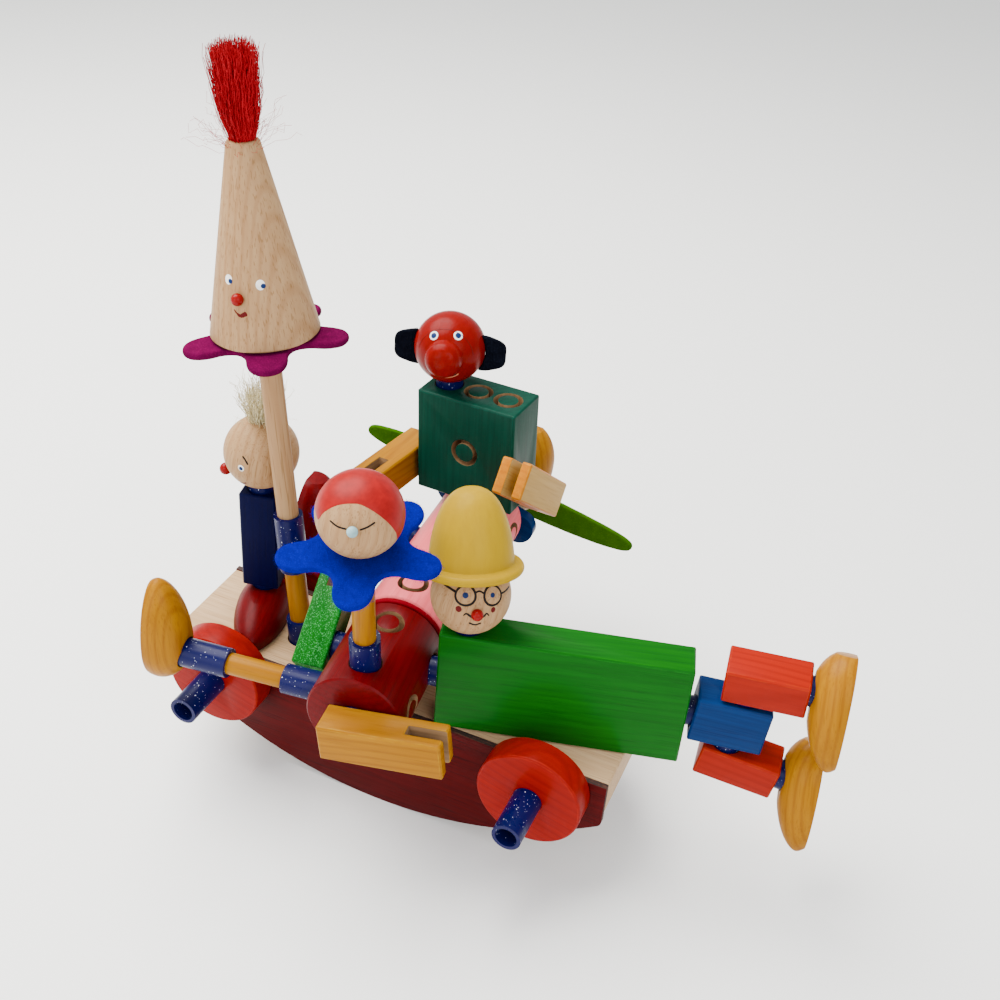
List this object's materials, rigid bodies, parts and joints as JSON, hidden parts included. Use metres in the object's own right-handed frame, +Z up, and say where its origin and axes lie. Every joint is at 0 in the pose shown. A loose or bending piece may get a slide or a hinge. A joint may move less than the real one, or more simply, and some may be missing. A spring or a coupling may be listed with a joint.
{
  "type": "plug-in construction toy",
  "caption": "Wooden rocker with wheels carrying several plug-together figures, made of blocks, cylinders, ball heads, half-egg shoes and felt shapes joined by short flexible tubes.",
  "frame": {"origin": "centre of the deck's flat underside", "axes": "+X along the deck to the right of the picture, +Y away from the viewer across the deck, +Z up"},
  "size_m": [0.3151, 0.2276, 0.3444],
  "materials": {
    "beech_wood": "plain sanded beech, clear finish",
    "dark_red_panel": "stained thin plywood with dark cut edges",
    "blue_tube": "flexible glossy tube with pale specks",
    "orange_wheel_wood": "orange-red stained turned wood",
    "dark_red_wood": "dark red stained turned wood",
    "navy_wood": "navy stained wood",
    "red_paint": "red lacquered ball",
    "blond_hair": "pale tuft of fibre",
    "yellow_wood": "yellow stained wood",
    "magenta_felt": "cut wool felt",
    "crimson_felt": "cut wool felt",
    "blue_felt": "cut wool felt",
    "green_felt": "cut wool felt",
    "black_felt": "cut wool felt",
    "red_hair": "dyed tuft of fibre",
    "pale_blue_paint": "pale blue lacquered ball",
    "green_wood": "bright green stained wood",
    "pink_wood": "pink stained turned wood",
    "yellow_lacquer": "opaque yellow lacquered turned wood",
    "blue_wood": "blue stained wood",
    "orange_wood": "orange-red stained wood",
    "dark_green_wood": "dark green stained wood",
    "red_lacquer": "red stained and lacquered turned wood",
    "amber_wood": "amber stained wood, bare at the hand"
  },
  "bodies": {
    "rocker": {"deck": "beech_wood", "front_rocker_panel": "dark_red_panel", "back_rocker_panel": "dark_red_panel", "axle_tubes": "blue_tube", "boy_shoe": "dark_red_wood", "pole_tubes": "blue_tube", "pole_lower_dowel": "yellow_wood", "pole_upper_dowel": "beech_wood", "drum": "dark_red_wood", "crimson_disc": "crimson_felt", "drum_tubes": "blue_tube", "neck_dowel": "yellow_wood", "left_leg_dowel": "yellow_wood", "left_leg_tube": "blue_tube", "pink_cylinder": "pink_wood", "pink_tubes": "blue_tube", "back_leg_dowel": "yellow_wood", "back_leg_tube": "blue_tube", "green_block": "green_wood", "green_block_tubes": "blue_tube", "tail_block": "dark_green_wood", "tail_block_tubes": "blue_tube"},
    "wheel_front_left": {"wheel_front_left": "orange_wheel_wood"},
    "wheel_front_right": {"wheel_front_right": "orange_wheel_wood"},
    "wheel_back_left": {"wheel_back_left": "dark_red_wood"},
    "wheel_back_right": {"wheel_back_right": "dark_red_wood"},
    "boy": {"boy_body": "navy_wood", "boy_tubes": "blue_tube"},
    "boy_head": {"boy_head": "beech_wood", "boy_nose": "red_paint", "boy_hair": "blond_hair"},
    "magenta_collar": {"magenta_collar": "magenta_felt"},
    "cone": {"cone_head": "beech_wood", "cone_nose": "red_paint", "cone_hair": "red_hair"},
    "blue_collar": {"blue_collar": "blue_felt"},
    "cap_head": {"cap_head": "beech_wood", "cap_head_nose": "pale_blue_paint"},
    "left_shoe": {"left_shoe": "yellow_wood"},
    "front_arm": {"front_arm": "yellow_wood"},
    "green_arm": {"green_arm": "green_wood"},
    "dark_red_shoe": {"dark_red_shoe": "dark_red_wood"},
    "dark_blue_bar": {"dark_blue_bar": "navy_wood"},
    "leaf": {"leaf_felt": "green_felt"},
    "hat_head": {"hat_head": "beech_wood", "hat": "yellow_lacquer", "hat_head_nose": "red_paint"},
    "hip": {"hip_block": "blue_wood", "hip_tubes": "blue_tube"},
    "upper_leg": {"upper_leg": "orange_wood", "upper_leg_tube": "blue_tube"},
    "lower_leg": {"lower_leg": "orange_wood", "lower_leg_tube": "blue_tube"},
    "upper_shoe": {"upper_shoe": "yellow_wood"},
    "lower_shoe": {"lower_shoe": "yellow_wood"},
    "ear_head": {"ear_head": "red_lacquer", "felt_ears": "black_felt"},
    "left_hand_arm": {"left_hand_arm": "yellow_wood"},
    "right_hand_arm": {"right_hand_arm": "amber_wood"},
    "back_shoe": {"back_shoe": "yellow_wood"}
  },
  "joints": [
    {"name": "wheel_front_left_spin", "type": "hinge", "parent": "rocker", "child": "wheel_front_left", "pos_m": [-0.0817, -0.03615, 0.009], "axis": [0, -1, 0], "continuous": true},
    {"name": "wheel_front_right_spin", "type": "hinge", "parent": "rocker", "child": "wheel_front_right", "pos_m": [0.0817, -0.03615, 0.009], "axis": [0, -1, 0], "continuous": true},
    {"name": "wheel_back_left_spin", "type": "hinge", "parent": "rocker", "child": "wheel_back_left", "pos_m": [-0.0817, 0.03615, 0.009], "axis": [0, 1, 0], "continuous": true},
    {"name": "wheel_back_right_spin", "type": "hinge", "parent": "rocker", "child": "wheel_back_right", "pos_m": [0.0817, 0.03615, 0.009], "axis": [0, 1, 0], "continuous": true},
    {"name": "boy_turn", "type": "hinge", "parent": "rocker", "child": "boy", "pos_m": [-0.0828, 0.0083, 0.0366], "axis": [0, 0, 1], "range_deg": [-170, 60]},
    {"name": "boy_head_turn", "type": "hinge", "parent": "boy", "child": "boy_head", "pos_m": [-0.0828, 0.0083, 0.1103], "axis": [0, 0, 1], "range_deg": [-170, 30]},
    {"name": "magenta_collar_turn", "type": "hinge", "parent": "rocker", "child": "magenta_collar", "pos_m": [-0.07001, -0.0043, 0.17998], "axis": [-0.0941, 0, 0.9956], "continuous": true},
    {"name": "cone_turn", "type": "hinge", "parent": "rocker", "child": "cone", "pos_m": [-0.07112, -0.0043, 0.19173], "axis": [-0.0941, 0, 0.9956], "continuous": true},
    {"name": "blue_collar_turn", "type": "hinge", "parent": "rocker", "child": "blue_collar", "pos_m": [0.00588, -0.05863, 0.13012], "axis": [0.0137, -0.1071, 0.9942], "continuous": true},
    {"name": "cap_head_turn", "type": "hinge", "parent": "rocker", "child": "cap_head", "pos_m": [0.00613, -0.06059, 0.14831], "axis": [0.0137, -0.1071, 0.9942], "continuous": true},
    {"name": "left_shoe_turn", "type": "hinge", "parent": "rocker", "child": "left_shoe", "pos_m": [-0.08726, -0.06343, 0.043], "axis": [-0.9919, -0.1271, 0], "range_deg": [-90, 60]},
    {"name": "front_arm_swing", "type": "hinge", "parent": "rocker", "child": "front_arm", "pos_m": [0.00794, -0.07467, 0.043], "axis": [0.1271, -0.9919, 0], "continuous": true},
    {"name": "green_arm_swing", "type": "hinge", "parent": "rocker", "child": "green_arm", "pos_m": [-0.03106, -0.028, 0.043], "axis": [0.9919, 0.1271, 0], "range_deg": [-50, 90]},
    {"name": "dark_red_shoe_turn", "type": "hinge", "parent": "rocker", "child": "dark_red_shoe", "pos_m": [-0.08032, 0.0571, 0.05358], "axis": [-0.9882, -0.0639, 0.1392], "range_deg": [-60, 5]},
    {"name": "dark_blue_bar_turn", "type": "hinge", "parent": "rocker", "child": "dark_blue_bar", "pos_m": [-0.0083, 0.10961, 0.043], "axis": [-0.0645, 0.9979, 0], "range_deg": [-5, 60]},
    {"name": "leaf_turn", "type": "hinge", "parent": "rocker", "child": "leaf", "pos_m": [-0.00961, 0.12982, 0.043], "axis": [-0.0645, 0.9979, 0], "continuous": true},
    {"name": "hat_head_turn", "type": "hinge", "parent": "rocker", "child": "hat_head", "pos_m": [0.03727, -0.01731, 0.0904], "axis": [0, 0, 1], "continuous": true},
    {"name": "hip_turn", "type": "hinge", "parent": "rocker", "child": "hip", "pos_m": [0.14622, 0.0127, 0.043], "axis": [0.9641, 0.2656, 0], "range_deg": [-45, 45]},
    {"name": "upper_leg_swing", "type": "hinge", "parent": "hip", "child": "upper_leg", "pos_m": [0.15708, 0.01574, 0.06342], "axis": [0.0695, 0.0378, 0.9969], "range_deg": [-80, 80]},
    {"name": "lower_leg_swing", "type": "hinge", "parent": "hip", "child": "lower_leg", "pos_m": [0.15333, 0.01398, 0.02362], "axis": [0.0695, 0.0378, 0.9969], "range_deg": [-80, 80]},
    {"name": "upper_shoe_turn", "type": "hinge", "parent": "upper_leg", "child": "upper_shoe", "pos_m": [0.19224, 0.01986, 0.06831], "axis": [0.9896, 0.1416, 0.0253], "range_deg": [-30, 90]},
    {"name": "lower_shoe_turn", "type": "hinge", "parent": "lower_leg", "child": "lower_shoe", "pos_m": [0.18828, 0.01929, 0.01482], "axis": [0.9834, 0.1221, -0.1344], "range_deg": [-90, 30]},
    {"name": "ear_head_turn", "type": "hinge", "parent": "rocker", "child": "ear_head", "pos_m": [-0.02696, 0.09105, 0.14286], "axis": [-0.0418, -0.0027, 0.9991], "continuous": true},
    {"name": "left_hand_arm_swing", "type": "hinge", "parent": "rocker", "child": "left_hand_arm", "pos_m": [-0.04531, 0.09301, 0.07494], "axis": [0.9956, -0.0837, 0.0414], "range_deg": [-170, 15]},
    {"name": "right_hand_arm_swing", "type": "hinge", "parent": "rocker", "child": "right_hand_arm", "pos_m": [0.02986, 0.08669, 0.07806], "axis": [0.9956, -0.0837, 0.0414], "continuous": true},
    {"name": "back_shoe_turn", "type": "hinge", "parent": "rocker", "child": "back_shoe", "pos_m": [0.00805, 0.11663, 0.07723], "axis": [0.0835, 0.9965, 0.0062], "range_deg": [-10, 5]}
  ]
}
